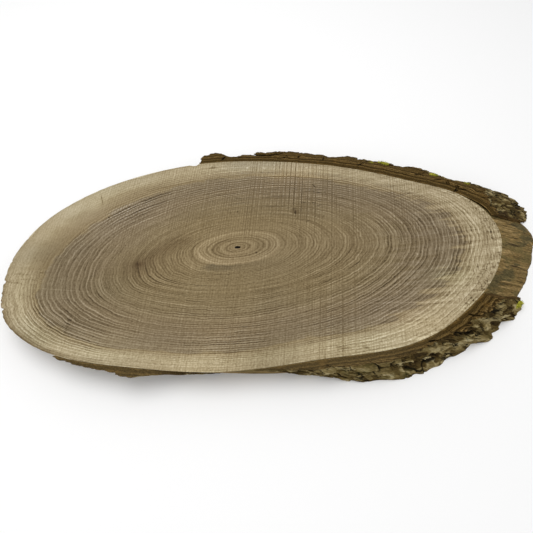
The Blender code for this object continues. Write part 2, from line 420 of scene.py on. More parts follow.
class Spoke:
    """A straight line in the log's section, from the pith to the rim."""

    def __init__(self, angle):
        notch = sum(
            deep * hump(angle, radians(middle), radians(half)) for middle, half, deep in NOTCHES
        )
        ragged = max(0, noise.noise(Vector((angle * 26, 3.1, 0.2)))) + 0.25
        notch += 1.3 * ragged * hump(angle % (2 * pi), radians(190), radians(38))
        full = wood_radius(angle)
        self.rim = Vector((cos(angle), sin(angle))) * (full - notch * MM)
        self.line = self.rim - PITH
        self.length = self.line.length / MM
        towards = atan2(self.line.y, self.line.x)
        self.marks = [(0, 0)]
        self.marks += [(on_curve(radii, towards), age) for age, radii in RING_SHAPES.items()]
        self.marks += [(self.length, FULL_AGE)]
        self.below = hump(towards, radians(-95), radians(100))
        self.plain = hump(towards, radians(150), radians(75))
        self.pale = on_curve(PALE_WIDTHS, angle)
        self.heart = on_curve(HEART_DEPTHS, angle)

    def age(self, out):
        """The age of the ring at a distance from the pith, both in millimetres."""
        for (near, young), (far, old) in zip(self.marks, self.marks[1:]):
            if out <= far:
                break
        return young + (old - young) * (out - near) / (far - near)

    def zone(self, out):
        """0 to 1 in the pale sapwood, up to 2 where it turns, above in the heartwood."""
        inwards = self.length - out
        if inwards < self.pale:
            return inwards / self.pale
        if inwards < self.heart:
            return 1 + (inwards - self.pale) / (self.heart - self.pale)
        return 2 + (inwards - self.heart) / 40


def blot(section, middle, wide, tall):
    """1 at a place in the section, fading away round it; sizes in metres."""
    return exp(-(((section.x - middle.x) / wide) ** 2) - ((section.y - middle.y) / tall) ** 2)


def ring_sway(section):
    """How far the rings wander, and bend round the knots, in millimetres of age."""
    sway = 1.5 * noise.noise(Vector((section.x / 0.040, section.y / 0.040, 2.2)))
    sway += 0.6 * noise.noise(Vector((section.x / 0.011, section.y / 0.011, 5.1)))
    sway -= 3.0 * blot(section, KNOT, 0.016, 0.012)
    sway += 1.5 * blot(section, KNOT + Vector((-0.014, 0.015)), 0.018, 0.014)
    sway += 3.5 * blot(section, PIN_KNOT, 0.004, 0.009)
    return sway


def near_line(place, points, half_width):
    """How near a place is to a bent line, from 0 to 1."""
    nearest = 1e9
    for first, last in zip(points, points[1:]):
        line = last - first
        part = min(max((place - first).dot(line) / line.length_squared, 0), 1)
        nearest = min(nearest, (place - first - line * part).length)
    return exp(-((nearest / half_width) ** 2))


def wood_tint(section):
    """Broad stains on the wood, as a colour to multiply by."""
    layers = [
        (blot(section, Vector(middle) * MM, spread * MM, spread * MM), colour)
        for middle, spread, colour in STAINS
    ]
    layers.append((near_line(section, FLAME, 9.0 * MM), (0.76, 0.72, 0.67)))
    layers.append((blot(section, FLAME[1], 9 * MM, 9 * MM), (0.84, 0.81, 0.78)))
    layers.append((blot(section, FLAME[1], 3.2 * MM, 4.0 * MM), (0.62, 0.54, 0.46)))
    layers.append((blot(section, PIN_KNOT, 2.0 * MM, 5.0 * MM), (0.66, 0.60, 0.52)))
    tint = [1, 1, 1]
    for share, colour in layers:
        tint = [part * (1 + (other - 1) * share) for part, other in zip(tint, colour)]
    return tint


def bare_relief(angle, along, level):
    """How far the bare rim is worn in, in metres: furrows and long splits, and a swelling below."""
    bare = rise(angle, radians(-37), radians(-31)) * rise(-angle, radians(-5), radians(-1))
    far = max(rise(angle, radians(101.5), radians(104)), rise(-angle, radians(140), radians(144)))
    below = rise(1 - level, 0.0, 0.35)
    around = angle * MEAN_RADIUS
    wide = 0.5 + 0.5 * bark_noise(around, along, (19 * MM, 150 * MM), 8.8)
    fine = 0.5 + 0.5 * bark_noise(around, along, (4.2 * MM, 50 * MM), 3.3)
    pits = max(0, bark_noise(around, along, (6 * MM, 12 * MM), 6.1) - 0.15)
    worn = (2.2 * wide + 0.5 * fine + 1.2 * pits) * below
    worn *= 1 - 0.75 * hump(angle, radians(-7), radians(20))
    wander = radians(0.25) * noise.noise(Vector((along / 0.012, 0.5, 0.5)))
    worn += 0.4 * exp(-((degrees_apart(angle + wander, -20.5) / 0.35) ** 2)) * below
    swelling = 4.2 * hump(angle, radians(-0.5), radians(13)) * rise(1 - level, 0.1, 0.9)
    return (worn * max(bare, far) - swelling) * MM


def rim_stain(angle, level):
    """How stained the bare rim is at an angle and a level."""
    return sum(
        exp(-((degrees_apart(angle, middle) / wide) ** 2) - ((level - high) / tall) ** 2)
        for middle, wide, high, tall in RIM_STAINS
    )


def degrees_apart(angle, other):
    """How far apart two angles are in degrees, the first in radians."""
    return angle * 180 / pi - other


def ring_strength(section):
    """How strong the rings are: less round the knot and at the lower right."""
    strength = 1 - 0.4 * blot(section, KNOT + Vector((0.004, 0.008)), 0.028, 0.034)
    return strength - 0.28 * blot(section, Vector((0.085, -0.125)), 0.055, 0.035)


def rim_darkening(angle, share):
    """How much darker the sawn faces are made, from 0 to 1, close to the rim on the near side, to the
    left.
    """
    darkening = rise(share, 0.972, 0.994) * hump(angle % (2 * pi), radians(206), radians(36)) ** 0.5
    darkening *= 0.9 + 0.9 * noise.noise(Vector((angle * 30, 7.7, 0.4)))
    return min(max(darkening, 0), 1)


def cut_wood_blank():
    """A round bar, its sawn faces inset ring by ring and joined down the hollow pith."""
    wood = start_piece(
        "wood", bpy.ops.mesh.primitive_cylinder_add, vertices=WOOD_SPOKES, radius=1, depth=1
    )
    cut_along(wood, 2, WOOD_ROWS)
    select_caps(wood)
    bpy.ops.mesh.inset(thickness=EDGE_SHARE)
    for _ in range(WOOD_RINGS):
        bpy.ops.mesh.inset(thickness=(1 - EDGE_SHARE - HOLLOW_SHARE) / WOOD_RINGS)
    bpy.ops.mesh.bridge_edge_loops()
    bpy.ops.object.mode_set(mode="OBJECT")
    for face in wood.data.polygons:
        if abs(face.normal.z) > 0.5:
            face.material_index = 0
        else:
            face.material_index = 1 if face.center.xy.length > 0.5 else 2
        face.use_smooth = face.material_index > 0
    return wood


def wood_place(angle, section, share, level):
    """Where a point of the wood is: in its section and at its level, with the rim worn in."""
    height = level * THICKNESS
    if share > 0.9:
        place = in_slab(atan2(section.y, section.x), section.length, height)
        worn = bare_relief(angle, along_log(place), level) * rise(share, 0.92, 0.995)
        section = section - section.normalized() * worn
        if level in (0, 1) and share > 0.9999:
            rounded = 0.25 + 0.2 * noise.noise(Vector((angle * 40, level, 0)))
            height += rounded * MM * (1 - 2 * level)
    return in_slab(atan2(section.y, section.x), section.length, height)


def make_wood():
    """The wood: the blank bent to the log's section and leant over, with what its finish reads."""
    wood = cut_wood_blank()
    spokes, tints = {}, []
    kept = {name: [] for name in ("age", "zone", "below_pith", "plain_side", "stain", "ring_strength")}
    for vertex in wood.data.vertices:
        angle = atan2(vertex.co.y, vertex.co.x)
        share = min(vertex.co.xy.length, 1)
        level = vertex.co.z + 0.5
        number = round(angle * WOOD_SPOKES / (2 * pi))
        if number not in spokes:
            spokes[number] = Spoke(angle)
        spoke = spokes[number]
        section = PITH + spoke.line * share
        out = spoke.length * share
        kept["age"].append(spoke.age(out) + ring_sway(section))
        kept["zone"].append(spoke.zone(out))
        kept["below_pith"].append(spoke.below)
        kept["plain_side"].append(spoke.plain)
        kept["stain"].append(rim_stain(angle, level))
        kept["ring_strength"].append(ring_strength(section))
        darkening = rim_darkening(angle, share)
        tints.append([part * (1 - darkening * loss) for part, loss in zip(wood_tint(section), RIM_DARKENING_LOSS)])
        vertex.co = wood_place(angle, section, share, level)
    for name, values in kept.items():
        keep(wood, name, values)
    keep(wood, "tint", tints, "FLOAT_COLOR")
    for finish in (sawn_wood(), bare_rim(), dark_pith()):
        wood.data.materials.append(finish)
    return wood


# The bark

def cut_bark_blank(name, cuts):
    """A long box cut fine: twice along its length, then up its height and through its thickness."""
    bark = start_piece(name + "_rough", bpy.ops.mesh.primitive_cube_add, size=1)
    for axis, pieces in zip((0, 0, 2, 1), cuts):
        cut_along(bark, axis, pieces)
    bpy.ops.object.mode_set(mode="OBJECT")
    for face in bark.data.polygons:
        spot = face.center
        if abs(spot.z) > 0.4999:
            face.material_index = 0
        else:
            face.material_index = 1 if spot.y > 0.4999 else 2
        face.use_smooth = face.material_index == 2
    return bark


def worn_top(angle, around, out, depth, fine):
    """How far the bark's sawn upper side has dropped: splits, a crumbled edge and fine wear."""
    crumbled = noise.fractal(Vector((around / 0.006, out * 2, 3.6)), 0.8, 2.0, 3)
    crumbled = max(0, crumbled + 0.9 * (out - 0.86) / 0.14)
    drop = min(split_depth(angle, depth), DEEPEST_SPLIT)
    drop += fine * MM * (4.0 * min(crumbled, 1) * rise(out, 0.55, 0.95) + 0.15)
    return drop + 0.3 * MM * fine * (1 + noise.noise(Vector((around, depth, 0)) / 0.003))


def make_bark(name, upper, lower, cuts, furrows, ragged, roughness):
    """A strip of bark: its blank bent round the log and roughened."""
    bark = cut_bark_blank(name, cuts)
    depths, relief_shades, edges = [], [], []
    for vertex in bark.data.vertices:
        share, out, level = vertex.co.x + 0.5, vertex.co.y + 0.5, vertex.co.z + 0.5
        angle_above, thick_above = reading(upper, share)
        angle_below, thick_below = reading(lower, share)
        thickness = thick_below + (thick_above - thick_below) * level

        # The ends are broken off raggedly, and lean back a little
        towards_end = 2 * share - 1
        bite = noise.noise(Vector((level * 3.1, towards_end, 5.3)))
        bite += 0.6 * noise.noise(Vector((level * 11, out * 4, 2.7)))
        angle = angle_below + (angle_above - angle_below) * level
        angle += ragged * bite * towards_end**6
        angle += radians(0.08) * out * thickness / MM * towards_end**9

        # The outside is rough, less so where the bark is thin or low and near its ends
        wood_here = wood_radius(angle)
        inner = wood_here + GROWTH_GAP + CRACK[2] * hump(angle, CRACK[0], CRACK[1])
        place = in_slab(angle, wood_here + thickness, level * THICKNESS)
        around, along = wood_here * angle, along_log(place)
        stand = big_relief(around, along, min(furrows, 0.4 * thickness))
        flake, edge, lift = flakes(around, along)
        crack = cracks(around, along)
        grit = noise.fractal(Vector((around / 0.0028, along / 0.005, 0.4)), 0.6, 2.1, 3)
        fine = roughness * min(1, thickness / (9 * MM)) * (0.45 + 0.55 * rise(level, 0.08, 0.5))
        settled = 1 - 0.7 * rise(abs(towards_end), 0.87, 0.96)
        detail = flake + 0.4 * MM * grit - PLATE_CRACK_DEPTH * crack + 0.4 * MM
        rough = settled * (stand + fine * detail)
        outer = max(wood_here + thickness + rough, inner + THINNEST_BARK)
        depth = (outer - inner) * out

        drop = BREAK[2] * hump(angle, BREAK[0], BREAK[1])
        if level > 0.5:
            drop += worn_top(angle, around, out, depth, fine)
        vertex.co = in_slab(angle, inner + depth, level * (THICKNESS - drop))
        depths.append(depth / MM)
        # Stored for the finish: how high a place stands, which it paints as light on raised flakes and
        # shade in low places, with each flake's own tone.
        relief_shades.append(0.48 + (rough + PLATE_CRACK_DEPTH * fine * crack) / (14 * MM) + 0.30 * lift)
        # Stored for the finish: how near a flake's lip or a crack is, where it paints near-black shade.
        edges.append(max(0.85 * edge, crack))
    keep(bark, "depth", depths)
    keep(bark, "high", relief_shades)
    keep(bark, "edge", edges)
    return bark


# The moss

LEAF_LENGTH = 3.6 * MM
LEAF_RADIUS = 0.42 * MM
LEAF_TIP = 0.05 * MM
MOSS_TOP = THICKNESS + 0.8 * MM


def thickness_at(readings, degrees_round):
    """How thick a strip is at an angle, on one of its cuts."""
    first, last = readings[0][0], readings[-1][0]
    return reading(readings, (degrees_round - first) / (last - first))[1]


def make_moss():
    """Tufts of small pointed leaves on the bark's outer edge: one leaf is modelled and copied."""
    random.seed(7)
    leaf = start_piece(
        "moss_leaf", bpy.ops.mesh.primitive_cone_add, vertices=5, radius1=LEAF_RADIUS, radius2=LEAF_TIP,
        depth=LEAF_LENGTH, location=(0, 0, 0.5 * LEAF_LENGTH - 0.2 * MM),
    )
    bpy.ops.object.mode_set(mode="OBJECT")
    bpy.ops.object.transform_apply(location=True, rotation=True, scale=True)
    leaves = []
    for strip, degrees_round, inwards, level, spread, count in MOSS_TUFTS:
        angle = radians(degrees_round)
        above = thickness_at(BARK_STRIPS[strip]["upper"], degrees_round)
        below = thickness_at(BARK_STRIPS[strip]["lower"], degrees_round)
        for _ in range(count):
            turn, reach = random.uniform(0, 2 * pi), spread * MM * random.random() ** 0.7
            here = angle + cos(turn) * reach * 0.62 / wood_radius(angle)
            height = level * THICKNESS + min(0, sin(turn) * reach * 0.5)
            thickness = below + (above - below) * height / THICKNESS
            out = thickness - inwards * MM + sin(turn) * reach * 0.35
            foot = in_slab(here, wood_radius(here) + out, height - 0.6 * MM)
            outwards = Vector((cos(angle), sin(angle), 0.9 if level > 0.5 else 0.35))
            scatter = Vector((random.uniform(-1, 1), random.uniform(-1, 1), random.uniform(-0.6, 0.8)))
            way = (outwards.normalized() + 0.75 * scatter).normalized()
            size = random.uniform(0.5, 1.15)
            room = max(MOSS_TOP - foot.z, 0)
            size = min(size, room / ((LEAF_LENGTH - 0.2 * MM) * max(way.z, 0.1)))
            one = leaf.copy()
            one.data = leaf.data.copy()
            one.data.transform(
                Matrix.Translation(foot) @ way.to_track_quat("Z", "Y").to_matrix().to_4x4()
                @ Matrix.Diagonal((size, size, size, 1))
            )
            bpy.context.scene.collection.objects.link(one)
            leaves.append(one)
    bpy.ops.object.select_all(action="DESELECT")
    for one in leaves:
        one.select_set(True)
    bpy.context.view_layer.objects.active = leaves[0]
    bpy.ops.object.join()
    moss = bpy.context.object
    moss.name = moss.data.name = "moss"
    bpy.data.objects.remove(leaf)
    moss.data.materials.append(moss_green())
    return moss


# Finishes

def shade(red, green, blue):
    """A colour as given, turned into the light that shaders work in."""
    parts = [part / 255 for part in (red, green, blue)]
    return (*[((part + 0.055) / 1.055) ** 2.4 if part > 0.04045 else part / 12.92 for part in parts], 1)


def greys(*stops):
    """Stops for a ramp, from places and how light it is there."""
    return [(position, (light, light, light, 1)) for position, light in stops]


class Finish:
    """One material, mixed from nodes. Each step gives the socket that the next one reads."""

    def __init__(self, name, roughness, shine=0.25):
        self.material = bpy.data.materials.new(name)
        self.material.use_nodes = True
        self.tree = self.material.node_tree
        self.shader = self.tree.nodes["Principled BSDF"]
        self.shader.inputs["Roughness"].default_value = roughness
        self.shader.inputs["Specular IOR Level"].default_value = shine

    def feed(self, socket, value):
        if isinstance(value, bpy.types.NodeSocket):
            self.tree.links.new(value, socket)
        else:
            socket.default_value = value

    def node(self, kind, inputs, **settings):
        made = self.tree.nodes.new(kind)
        for key, value in settings.items():
            setattr(made, key, value)
        for key, value in inputs.items():
            self.feed(made.inputs[key], value)
        return made

    def place(self):
        """Where a point is, in the slab's frame."""
        return self.node("ShaderNodeTexCoord", {}).outputs["Object"]

    def grain(self, across, along):
        """Where a point is in the log, drawn out along the grain: turned to the log, then scaled."""
        turned = self.node(
            "ShaderNodeMapping", {"Vector": self.place(), "Rotation": (0, LOG_TILT, 0)}
        ).outputs[0]
        return self.node(
            "ShaderNodeMapping", {"Vector": turned, "Scale": (across, across, along)}
        ).outputs[0]

    def kept(self, name, output="Fac"):
        """What the piece stores for each vertex under a name."""
        return self.node("ShaderNodeAttribute", {}, attribute_name=name).outputs[output]

    def maths(self, operation, first, second=0.0, third=0.0):
        return self.node(
            "ShaderNodeMath", {0: first, 1: second, 2: third}, operation=operation
        ).outputs[0]

    def times(self, first, *others):
        """Multiplies numbers together."""
        for other in others:
            first = self.maths("MULTIPLY", first, other)
        return first

    def plus(self, base, value, share=1.0):
        """Adds a share of a value to another."""
        return self.maths("MULTIPLY_ADD", value, share, base)

    def centred(self, value):
        """Noise from 0 to 1, moved down so that its middle is at 0."""
        return self.maths("SUBTRACT", value, 0.5)

    def dot(self, vector, way):
        return self.node(
            "ShaderNodeVectorMath", {0: vector, 1: way}, operation="DOT_PRODUCT"
        ).outputs["Value"]

    def noise(self, vector, scale=1.0, detail=2.0, rough=0.5):
        return self.node(
            "ShaderNodeTexNoise", {"Vector": vector, "Scale": scale, "Detail": detail, "Roughness": rough}
        ).outputs["Fac"]

    def streaks(self, value, scale, detail=3.0, rough=0.6):
        """Noise that varies along one number only."""
        return self.node(
            "ShaderNodeTexNoise", {"W": value, "Scale": scale, "Detail": detail, "Roughness": rough},
            noise_dimensions="1D",
        ).outputs["Fac"]

    def ring_noise(self, age, scale, around, detail=2.0, rough=0.5):
        """Noise that changes fast from ring to ring, and slowly round each ring."""
        spot = self.node("ShaderNodeCombineXYZ", {
            "X": self.times(age, scale),
            "Y": self.dot(self.place(), (around * cos(LOG_TILT), 0, 0)),
            "Z": self.dot(self.place(), (0, around, 0)),
        }).outputs[0]
        return self.noise(spot, 1, detail, rough)

    def span(self, value, low, high, to_low=0.0, to_high=1.0):
        """Stretches a range of values onto another, and stops at its ends."""
        return self.node(
            "ShaderNodeMapRange",
            {"Value": value, "From Min": low, "From Max": high, "To Min": to_low, "To Max": to_high},
        ).outputs[0]

    def ramp(self, value, stops, interpolation="LINEAR"):
        made = self.node("ShaderNodeValToRGB", {"Fac": value})
        made.color_ramp.interpolation = interpolation
        elements = made.color_ramp.elements
        while len(elements) < len(stops):
            elements.new(0.5)
        for element, (position, colour) in zip(elements, stops):
            element.position = position
            element.color = colour
        return made.outputs["Color"]

    def blend(self, first, second, share, kind="MIX"):
        """Mixes two colours."""
        made = self.node(
            "ShaderNodeMix", {0: share, 6: first, 7: second}, data_type="RGBA", blend_type=kind
        )
        return made.outputs[2]

    def grey(self, value):
        """A number as a colour, to multiply by."""
        return self.node("ShaderNodeCombineColor", {0: value, 1: value, 2: value}).outputs[0]

    def brown_grey(self, value):
        """A number as a colour to multiply brown by, so that it gets lighter or darker by plain grey."""
        parts = [self.maths("POWER", value, power) for power in (1.0, 1.13, 1.42)]
        return self.node("ShaderNodeCombineColor", dict(enumerate(parts))).outputs[0]

    def mark(self, start, end, half_width, half_height=10):
        """1 on a short line on the upper face, less round it; its ends and sizes in millimetres."""
        first, last = Vector(start) * MM, Vector(end) * MM
        line = last - first
        spot = self.node("ShaderNodeMapping", {
            "Vector": self.place(), "Location": (*(first + last) / 2, THICKNESS),
            "Rotation": (0, 0, atan2(line.y, line.x)),
            "Scale": (0.6 * line.length, half_width * MM, half_height * MM),
        }, vector_type="TEXTURE").outputs[0]
        away = self.node("ShaderNodeVectorMath", {0: spot}, operation="LENGTH").outputs["Value"]
        return self.span(away, 0.5, 1.0, 1, 0)

    def finish(self, colour, bump=None, bump_height=0.0003):
        self.feed(self.shader.inputs["Base Color"], colour)
        if bump is not None:
            raised = self.node(
                "ShaderNodeBump", {"Height": bump, "Strength": 1.0, "Distance": bump_height}
            )
            self.feed(self.shader.inputs["Normal"], raised.outputs["Normal"])
        return self.material


class SawnWalnut(Finish):
    """The walnut's finish, with what its parts share: the rings' age, the zone and the saw's way."""

    def __init__(self):
        super().__init__("sawn_walnut", 0.8)
        self.spot = self.place()
        self.wander = self.centred(self.noise(self.spot, 90, 2))
        self.age = self.plus(self.kept("age"), self.wander, 1.6)
        self.below = self.kept("below_pith")
        self.plain = self.kept("plain_side")
        self.across_saw = self.dot(self.spot, (sin(SAW_WAY), -cos(SAW_WAY), 0))
        self.along_saw = self.dot(self.spot, (cos(SAW_WAY), sin(SAW_WAY), 0))
        self.fingers = self.border_fingers()
        self.zone = self.sap_zone()
        self.smooth = self.times(self.plain, self.span(self.zone, 2.05, 1.75))

    def border_fingers(self):
        """The ragged way the sapwood meets the heartwood on the right, where scratches cross them."""
        turned = self.node("ShaderNodeMapping", {
            "Vector": self.spot, "Rotation": (0, 0, -SCRATCH_WAY), "Scale": (13, 170, 1),
        }).outputs[0]
        ragged = self.centred(self.noise(turned, 1, 4, 0.65))
        return self.times(ragged, self.span(self.across_saw, 0.02, 0.16))

    def sap_zone(self):
        """0 to 1 in the pale sapwood, up to 2 where it turns, above in the heartwood."""
        warp = self.noise(self.grain(60, 3), detail=3)
        zone = self.maths("ADD", self.kept("zone"), self.span(warp, 0, 1, -0.3, 0.3))
        return self.maths("MAXIMUM", self.plus(zone, self.fingers, 2.4), 0.0)

    def sap_and_heart(self):
        """Sapwood and heartwood, from the rim inwards."""
        return self.ramp(self.maths("DIVIDE", self.zone, 4), [
            (0.0, shade(176, 162, 130)), (0.008, shade(146, 131, 100)), (0.03, shade(160, 145, 114)),
            (0.12, shade(164, 149, 118)), (0.25, shade(160, 145, 113)), (0.38, shade(148, 132, 101)),
            (0.485, shade(136, 119, 87)), (0.51, shade(126, 111, 85)), (0.60, shade(121, 106, 81)),
            (0.72, shade(122, 106, 79)), (0.85, shade(123, 107, 77)), (1.0, shade(125, 108, 76)),
        ])

    def core(self, colour):
        """The pale middle, and the dark crescent below it."""
        young = self.maths("DIVIDE", self.age, CORE_AGE)
        middle = self.ramp(young, greys((0.0, 1), (0.30, 0.7), (0.50, 0.9), (0.53, 0.2), (0.8, 0)))
        lower = self.span(self.below, 0, 1, 0.22, 0.5)
        colour = self.blend(colour, shade(148, 128, 95), self.times(middle, lower))
        ragged = self.centred(self.noise(self.spot, 110, 3, 0.6))
        crescent = self.times(
            self.ramp(self.plus(young, ragged, 0.12), greys((0.51, 0), (0.53, 1), (0.64, 0.8), (0.72, 0))),
            self.span(self.below, 0.62, 0.74),
            self.span(self.dot(self.spot, (1, 0, 0)), -0.110, -0.080, 1, 0.3),
            self.span(self.noise(self.spot, 45, 3), 0.3, 0.6, 0.7, 1.2),
        )
        return self.blend(colour, shade(99, 86, 61), self.times(crescent, 0.78))

    def turning_band(self, colour):
        """The darker band on the plain side, where sapwood turns to heartwood."""
        band = self.times(
            self.span(self.zone, 0.75, 1.15),
            self.span(self.zone, 2.1, 1.85),
            self.span(self.plain, 0.1, 0.6, 0, 0.9),
        )
        return self.blend(colour, (0.84, 0.81, 0.75, 1), band, "MULTIPLY")

    def ring_tone(self):
        """The rings that stand out. Each ramp stops at its ends, so the ends are taken off again."""
        tones = []
        for rings in (CORE_RINGS, EARLY_RINGS, LATE_RINGS):
            first, last = rings[0][0], rings[-1][0]
            stops = [((age - first) / (last - first), 0.5 + tone * TONE_SHARE) for age, tone in rings]
            tones.append(self.ramp(self.span(self.age, first, last), greys(*stops)))
        joined = self.maths("ADD", self.maths("ADD", tones[0], tones[1]), tones[2])
        ends = EARLY_RINGS[0][1] + LATE_RINGS[0][1]
        return self.maths("SUBTRACT", joined, 1.5 + ends * TONE_SHARE)

    def ring_lines(self, age, scale, width, on_line, beside):
        """Thin lines that follow the rings, where noise crosses its middle."""
        crossing = self.maths("ABSOLUTE", self.centred(self.ring_noise(age, scale, 16, 1, 0.6)))
        return self.span(crossing, 0.0, width, on_line, beside)

    def yearly_rings(self, outer):
        """Even rings: closer together near the pith, bunched and sharper farther out."""
        bunched = self.ring_noise(self.age, 0.13, 9)
        phase = self.plus(self.times(self.age, 2.05), bunched, 9.0)
        sharper = self.maths("SINE", self.maths("MULTIPLY_ADD", phase, 2.0, 0.7))
        wide = self.plus(self.maths("SINE", phase), sharper, 0.6)
        close = self.maths("SINE", self.plus(self.times(self.wander, 5.0), self.age, 2.6))
        return self.blend(self.grey(wide), self.grey(close), self.span(outer, 0, 1, 0.8, 0.28))

    def rings(self):
        """All the growth rings, as how much lighter they are than the wood."""
        heart = self.span(self.zone, 1.2, 2.0)
        outer = self.span(self.plus(self.age, self.below, -25.0), 60, 120)
        strength = self.times(
            self.span(self.below, 0, 1, 0.22, 0.40),
            self.span(heart, 0, 1, 0.9, 1.05),
            self.span(self.zone, 0.6, 1.4, 0.55, 1.0),
            self.span(outer, 0, 1, 0.75, 1.05),
            self.span(self.dot(self.spot, (0, 1, 0)), 0.04, 0.11, -1.0, -2.0),
            self.span(self.age, 34, 42),
        )
        patchy = self.times(
            self.span(self.noise(self.spot, 13, 1), 0.30, 0.70, 0.45, 1.55),
            self.span(self.smooth, 0, 1, 1.0, 0.12),
            self.kept("ring_strength"),
        )
        later = self.maths("ADD", self.age, 500.0)
        fine = self.centred(self.ring_noise(self.age, 0.62, 24, 2, 0.7))
        tone = self.ring_tone()
        tone_share = self.times(self.span(heart, 0, 1, 0.5, 0.8), self.span(outer, 0, 1, 1.0, 0.65))
        rings = self.times(self.yearly_rings(outer), strength)
        rings = self.plus(rings, self.ring_lines(self.age, 0.30, 0.09, -1.0, 0.3), 0.10)
        rings = self.plus(rings, self.ring_lines(later, 0.34, 0.075, 1.0, -0.3), 0.09)
        rings = self.plus(rings, fine, 0.72)
        rings = self.times(self.plus(rings, tone, tone_share), patchy)
        return self.plus(rings, tone, self.span(self.age, 36, 33, 0, 1.2))

    def saw_wave(self, spacing, scale, detail, rough, amount):
        """Even waves across the saw's marks, with uneven spaces between them."""
        jitter = self.times(self.streaks(self.across_saw, scale, detail, rough), amount)
        return self.maths("SINE", self.plus(jitter, self.across_saw, 2 * pi / spacing))

    def saw_marks(self):
        """The saw's marks: fine ones nearly everywhere, and heavy bars across the middle."""
        upper = self.span(self.along_saw, -0.02, 0.05)
        chatter = self.noise(self.node("ShaderNodeMapping", {
            "Vector": self.spot, "Rotation": (0, 0, pi / 2 - SAW_WAY), "Scale": (38, 9, 9),
        }).outputs[0], 1, 3)
        off_middle = self.maths("ABSOLUTE", self.maths("ADD", self.along_saw, 0.01))
        inside = self.times(
            self.span(self.across_saw, -0.11, -0.04),
            self.span(self.across_saw, 0.10, 0.05),
            self.span(off_middle, 0.025, 0.075, 0.25, 1),
        )
        thin = self.span(self.saw_wave(BAR_SPACING, 45, 1.0, 0.5, 12.0), -0.1, 0.95, 0, -1)
        wide = self.span(self.streaks(self.across_saw, 130, 2.0, 0.6), 0.50, 0.68, 0, -0.9)
        bars = self.maths("ADD", self.times(thin, self.span(upper, 0, 1, 0.25, 1)),
                          self.times(wide, self.span(upper, 0, 1, 1, 0.3)))
        bars = self.times(
            bars, self.span(inside, 0, 1, 0.12, 1.0), self.span(chatter, 0.38, 0.62, 0.0, 1.2)
        )
        saw = self.times(
            self.saw_wave(TOOTH_SPACING, 60, 2.0, 0.6, 9.0),
            self.span(chatter, 0.38, 0.66, 0.3, 1.0),
            self.span(upper, 0, 1, 0.085, 0.20),
        )
        slow = self.centred(self.streaks(self.across_saw, 190, 3.0, 0.7))
        saw = self.plus(saw, slow, self.span(inside, 0, 1, 0.32, 0.6))
        saw = self.plus(saw, bars, 0.26)
        return self.times(saw, self.span(self.smooth, 0, 1, 1.0, 0.45))

    def scratches(self):
        """Long light scratches, in patches."""
        across = self.dot(self.spot, (-sin(SCRATCH_WAY), cos(SCRATCH_WAY), 0))
        scratch = self.span(self.streaks(across, 330, 2.0, 0.6), 0.66, 0.74)
        return self.times(scratch, self.span(self.noise(self.spot, 9, 1), 0.5, 0.62))

    def saw_noise(self, across, along, detail, rough=0.5):
        """Noise that lines up with the saw's marks."""
        turned = self.node("ShaderNodeCombineXYZ", {"X": self.across_saw, "Y": self.along_saw}).outputs[0]
        scaled = self.node("ShaderNodeMapping", {"Vector": turned, "Scale": (across, along, 1)}).outputs[0]
        return self.noise(scaled, 1, detail, rough)

    def dashes(self):
        """Dark dashes in the sapwood, along and across the saw's marks."""
        spread = self.plus(self.noise(self.spot, 22, 1), self.span(self.across_saw, 0.22, 0.28), 0.13)
        long_dashes = self.span(self.saw_noise(430, 150, 1), 0.55, 0.66)
        cross_dashes = self.span(self.saw_noise(120, 420, 1), 0.57, 0.67)
        return self.times(
            self.maths("ADD", long_dashes, cross_dashes),
            self.span(self.zone, 1.1, 0.7),
            self.span(spread, 0.46, 0.60),
            self.span(self.across_saw, 0.12, 0.22, 0.15, 1),
        )

    def light(self):
        """How light each point is next to the wood's plain colour, which is 1."""
        rings, saw = self.rings(), self.saw_marks()
        light = self.times(self.maths("ADD", rings, 1.0), self.maths("ADD", saw, 1.0))
        light = self.plus(light, self.times(saw, rings), 2.0)
        light = self.plus(light, self.scratches(), 0.14)
        tooth_grain = self.centred(self.saw_noise(430, 240, 2, 0.65))
        light = self.plus(light, tooth_grain, self.span(self.smooth, 0, 1, 0.85, 0.5))
        pores = self.centred(self.noise(self.grain(760, 130), detail=2, rough=0.65))
        light = self.plus(light, pores, self.span(self.smooth, 0, 1, 0.9, 0.45))
        blotch = self.centred(self.noise(self.grain(75, 9), detail=4, rough=0.65))
        light = self.plus(light, blotch, 0.28)
        light = self.plus(light, self.fingers, -1.0)
        return self.plus(light, self.dashes(), -0.42)


def sawn_wood():
    """Walnut as the saw left it: sapwood, heartwood, rings, grain, saw marks and small marks."""
    wood = SawnWalnut()
    colour = wood.turning_band(wood.core(wood.sap_and_heart()))
    colour = wood.blend(colour, wood.kept("tint", "Color"), 1.0, "MULTIPLY")
    surface = wood.light()
    light = surface
    for start, end, half_width, lighter in MARKS:
        light = wood.plus(light, wood.mark(start, end, half_width), lighter)
    light = wood.maths("MAXIMUM", light, 0.12)
    colour = wood.blend(colour, wood.brown_grey(light), 1.0, "MULTIPLY")
    return wood.finish(colour, surface, 0.0004)


def dark_pith():
    """The wall of the hollow pith: crumbled, and painted nearly black, partly as the pith's own dark
    colour and partly as painted shade inside the hole.
    """
    pith = Finish("dark_pith", 0.95)
    crumbs = pith.noise(pith.place(), 900, 2)
    return pith.finish(pith.ramp(crumbs, [(0.35, shade(10, 7, 4)), (0.65, shade(32, 24, 15))]))


